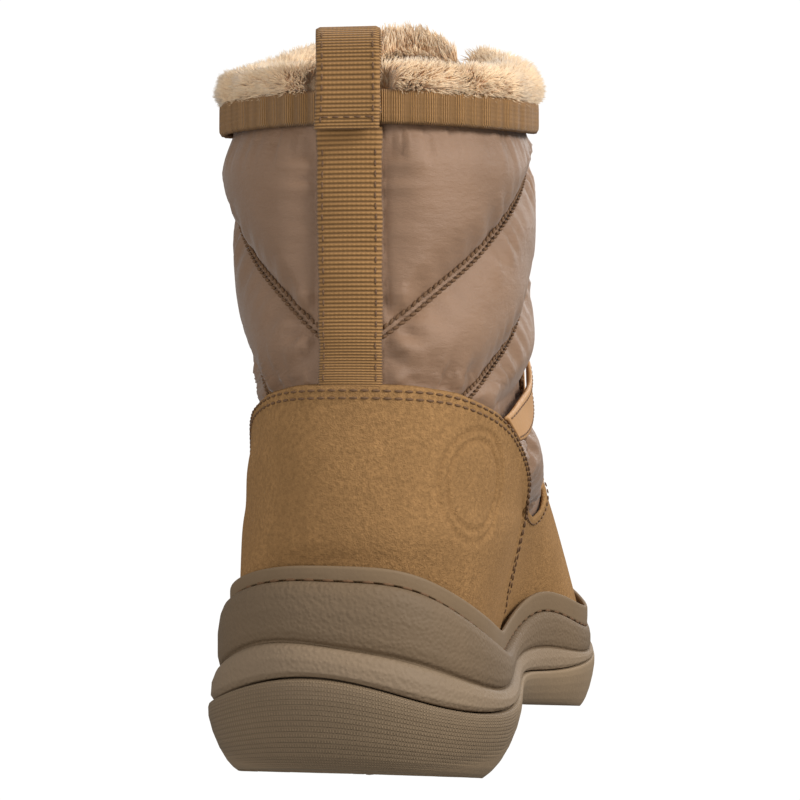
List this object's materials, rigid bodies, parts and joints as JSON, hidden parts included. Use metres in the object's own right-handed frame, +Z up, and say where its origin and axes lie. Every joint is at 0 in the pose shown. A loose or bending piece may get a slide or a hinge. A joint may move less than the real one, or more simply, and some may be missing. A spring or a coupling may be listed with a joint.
{
  "type": "shearling_lined_ankle_boot",
  "caption": "Padded ankle boot with a fleece-lined collar, suede toe and heel pieces, quilted nylon shaft and a thick two-tier rubber sole",
  "frame": {"origin": "centre of the box round the boot, on the floor it stands on", "axes": "+Z up, +Y towards the toe, +X towards the outer side of the foot, which is a right foot"},
  "size_m": [0.101, 0.2758, 0.2061],
  "materials": {
    "outsole_rubber": "fine grid texture at the heel, satin elsewhere",
    "midsole_foam": "pebbled moulded foam rubber",
    "rand_rubber": "smooth matte",
    "suede": "napped suede",
    "nylon": "quilted woven nylon with a soft sheen",
    "webbing": "ribbed grosgrain",
    "synthetic": "smooth synthetic leather",
    "fleece": "deep shearling pile"
  },
  "bodies": {
    "root": {"outsole": "outsole_rubber", "midsole": "midsole_foam", "welt": "rand_rubber", "insole": "fleece", "upper": "nylon", "counter": "suede", "vamp": "suede", "strap_outer": "synthetic", "strap_inner": "synthetic", "eyestay_outer": "synthetic", "eyestay_inner": "synthetic", "collar_binding": "webbing", "back_tape": "webbing", "pull_loop": "webbing", "tongue": "nylon", "tongue_fur": "fleece", "fur_collar": "fleece"}
  },
  "joints": []
}
